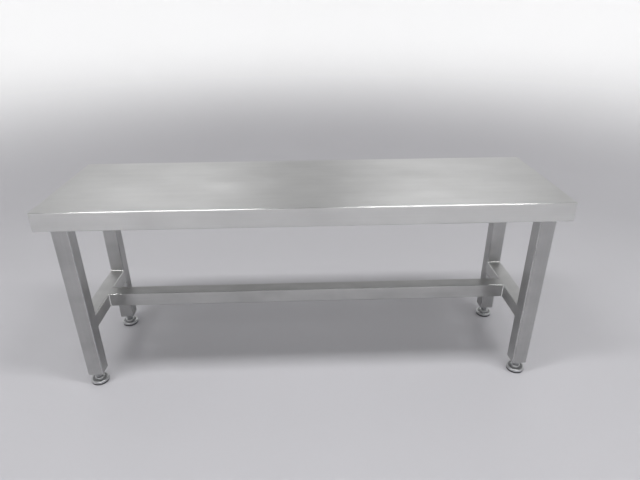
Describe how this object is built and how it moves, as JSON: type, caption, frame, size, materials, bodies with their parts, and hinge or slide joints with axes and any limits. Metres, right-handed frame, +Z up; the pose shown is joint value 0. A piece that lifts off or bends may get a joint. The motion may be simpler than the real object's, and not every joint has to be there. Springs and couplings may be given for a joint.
{
  "type": "work table",
  "caption": "Low rectangular work table with a folded sheet top, square-tube end frames joined by a low stretcher, and screw-adjusted levelling feet.",
  "frame": {"origin": "on the floor under the middle of the top, at the bottom centre of the bounding box", "axes": "+X along the table's length to the right as seen from the front, +Y from the front to the back, +Z up"},
  "size_m": [1.2, 0.35, 0.5],
  "materials": {
    "top_sheet": "brushed stainless sheet, grain along the length, satin",
    "square_tube": "brushed stainless tube, grain along each tube, ground at the welds",
    "formed_section": "dull mill-finish stainless, folded sections and plugs",
    "fastener": "plain stainless bolts, washers and weld nuts",
    "foot_metal": "bright turned stainless",
    "foot_rubber": "matt black rubber"
  },
  "bodies": {
    "frame": {"table_top": "top_sheet", "stiffener_front": "formed_section", "stiffener_back": "formed_section", "mounting_channel_left": "formed_section", "mounting_channel_right": "formed_section", "leg_front_left": "square_tube", "leg_front_right": "square_tube", "leg_back_left": "square_tube", "leg_back_right": "square_tube", "high_rail_left": "square_tube", "low_rail_left": "square_tube", "high_rail_right": "square_tube", "low_rail_right": "square_tube", "stretcher": "square_tube", "frame_bolt_front_left": "fastener", "washer_front_left": "fastener", "weld_nut_front_left": "fastener", "frame_bolt_front_right": "fastener", "washer_front_right": "fastener", "weld_nut_front_right": "fastener", "frame_bolt_back_left": "fastener", "washer_back_left": "fastener", "weld_nut_back_left": "fastener", "frame_bolt_back_right": "fastener", "washer_back_right": "fastener", "weld_nut_back_right": "fastener", "leg_plug_front_left": "formed_section", "leg_plug_front_right": "formed_section", "leg_plug_back_left": "formed_section", "leg_plug_back_right": "formed_section"},
    "foot_base_front_left": {"foot_cup_front_left": "foot_metal", "foot_pad_front_left": "foot_rubber"},
    "foot_screw_front_left": {"foot_stud_front_left": "foot_metal"},
    "foot_base_front_right": {"foot_cup_front_right": "foot_metal", "foot_pad_front_right": "foot_rubber"},
    "foot_screw_front_right": {"foot_stud_front_right": "foot_metal"},
    "foot_base_back_left": {"foot_cup_back_left": "foot_metal", "foot_pad_back_left": "foot_rubber"},
    "foot_screw_back_left": {"foot_stud_back_left": "foot_metal"},
    "foot_base_back_right": {"foot_cup_back_right": "foot_metal", "foot_pad_back_right": "foot_rubber"},
    "foot_screw_back_right": {"foot_stud_back_right": "foot_metal"}
  },
  "joints": [
    {"name": "foot_height_front_left", "type": "slide", "parent": "frame", "child": "foot_base_front_left", "axis": [0, 0, -1], "range_m": [-0.009, 0.02]},
    {"name": "foot_turn_front_left", "type": "hinge", "parent": "foot_base_front_left", "child": "foot_screw_front_left", "pos_m": [-0.556, -0.131, 0.0208], "axis": [0, 0, -1], "range_deg": [-1850, 4110]},
    {"name": "foot_height_front_right", "type": "slide", "parent": "frame", "child": "foot_base_front_right", "axis": [0, 0, -1], "range_m": [-0.009, 0.02]},
    {"name": "foot_turn_front_right", "type": "hinge", "parent": "foot_base_front_right", "child": "foot_screw_front_right", "pos_m": [0.556, -0.131, 0.0208], "axis": [0, 0, -1], "range_deg": [-1850, 4110]},
    {"name": "foot_height_back_left", "type": "slide", "parent": "frame", "child": "foot_base_back_left", "axis": [0, 0, -1], "range_m": [-0.009, 0.02]},
    {"name": "foot_turn_back_left", "type": "hinge", "parent": "foot_base_back_left", "child": "foot_screw_back_left", "pos_m": [-0.556, 0.131, 0.0208], "axis": [0, 0, -1], "range_deg": [-1850, 4110]},
    {"name": "foot_height_back_right", "type": "slide", "parent": "frame", "child": "foot_base_back_right", "axis": [0, 0, -1], "range_m": [-0.009, 0.02]},
    {"name": "foot_turn_back_right", "type": "hinge", "parent": "foot_base_back_right", "child": "foot_screw_back_right", "pos_m": [0.556, 0.131, 0.0208], "axis": [0, 0, -1], "range_deg": [-1850, 4110]}
  ],
  "couplings": [
    {"joint": "foot_height_front_left", "follows": "foot_turn_front_left", "m_per_rad": 0.00027852},
    {"joint": "foot_height_front_right", "follows": "foot_turn_front_right", "m_per_rad": 0.00027852},
    {"joint": "foot_height_back_left", "follows": "foot_turn_back_left", "m_per_rad": 0.00027852},
    {"joint": "foot_height_back_right", "follows": "foot_turn_back_right", "m_per_rad": 0.00027852}
  ]
}
